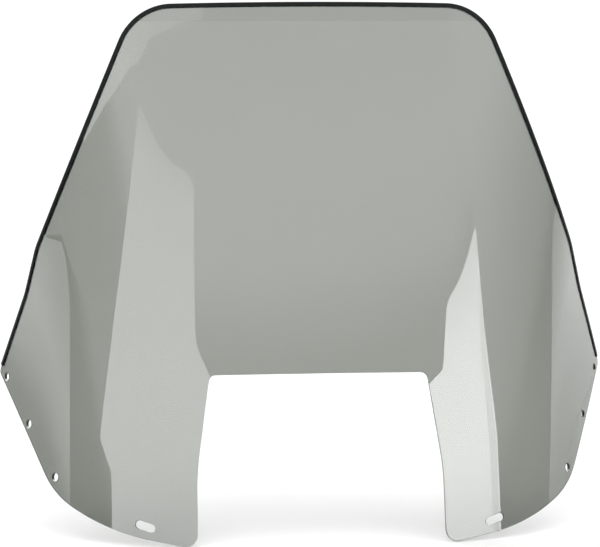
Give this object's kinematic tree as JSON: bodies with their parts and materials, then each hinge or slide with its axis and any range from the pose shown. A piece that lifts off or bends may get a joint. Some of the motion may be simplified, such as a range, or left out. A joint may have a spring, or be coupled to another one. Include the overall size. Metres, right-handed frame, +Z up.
{
  "type": "windshield screen",
  "caption": "Wrap-around smoke-tinted windshield sheet with a cut-out between two legs, fixing holes and a black push-on edge trim.",
  "frame": {"origin": "bottom centre of the bounding box, under the legs", "axes": "+X to the right across the screen, +Y from the convex outer face towards the hollow inner side, +Z up; the bend lines lean 12 degrees back from +Z"},
  "size_m": [0.6308, 0.1878, 0.5353],
  "materials": {
    "smoke_polycarbonate": "clear smoke-grey tint, polished on both faces",
    "trim_rubber": "soft satin black"
  },
  "bodies": {
    "root": {"screen": "smoke_polycarbonate", "edge_trim": "trim_rubber"}
  },
  "joints": []
}
